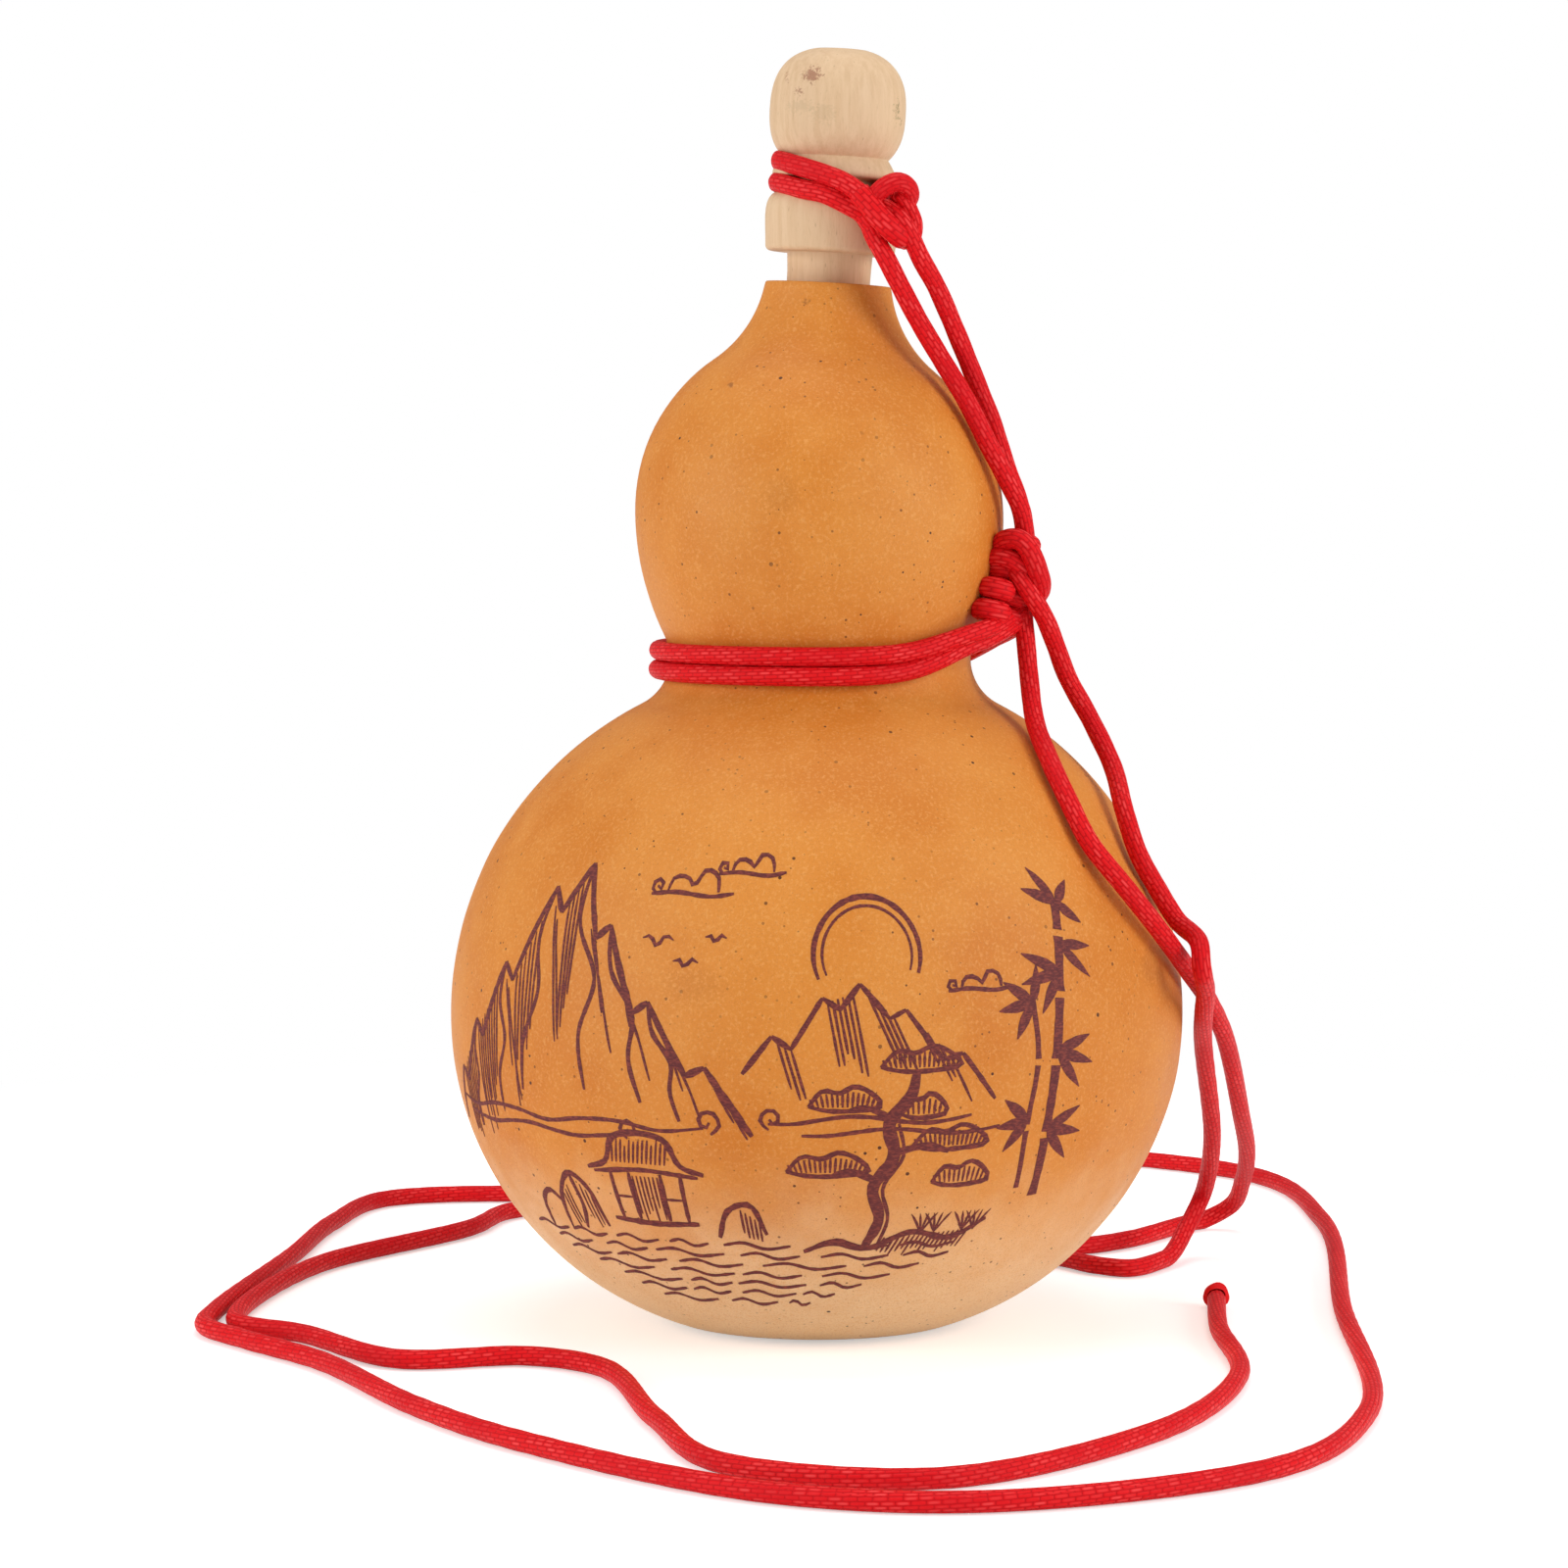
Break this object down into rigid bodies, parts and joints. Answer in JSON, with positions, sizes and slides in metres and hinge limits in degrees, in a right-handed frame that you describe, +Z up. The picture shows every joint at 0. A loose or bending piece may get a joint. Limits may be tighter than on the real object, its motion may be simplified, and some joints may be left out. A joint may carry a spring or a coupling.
{
  "type": "gourd water bottle",
  "caption": "Dried double-gourd water bottle with a turned wooden stopper on a tether and a red satin carrying cord knotted round its waist.",
  "frame": {"origin": "on the floor, on the vertical axis of the gourd's belly", "axes": "+Z up along the gourd, +X to the right as seen from the front, towards the knots of the cord, and -Y to the front"},
  "size_m": [0.1504, 0.251, 0.1598],
  "materials": {
    "gourd_skin": "satin dried gourd skin, finely speckled",
    "turned_wood": "smooth turned pale wood",
    "satin_cord": "satin, twisted round cord"
  },
  "bodies": {
    "gourd": {"gourd_shell": "gourd_skin", "tether_left": "satin_cord", "tether_right": "satin_cord", "waist_turns": "satin_cord", "waist_knot_lower": "satin_cord", "waist_knot_upper": "satin_cord", "strap_strand_left": "satin_cord", "strap_strand_right": "satin_cord", "strap_bead_left": "satin_cord", "strap_bead_right": "satin_cord"},
    "hitch": {"stopper_hitch": "satin_cord"},
    "stopper": {"stopper": "turned_wood"}
  },
  "joints": [
    {"name": "stopper_lift", "type": "slide", "parent": "gourd", "child": "hitch", "axis": [0.0541, 0, 0.9985], "range_m": [0, 0.03], "deforming": ["tether_left", "tether_right"]},
    {"name": "stopper_turn", "type": "hinge", "parent": "hitch", "child": "stopper", "pos_m": [0, 0, 0.102], "axis": [0.0541, 0, 0.9985], "continuous": true}
  ]
}
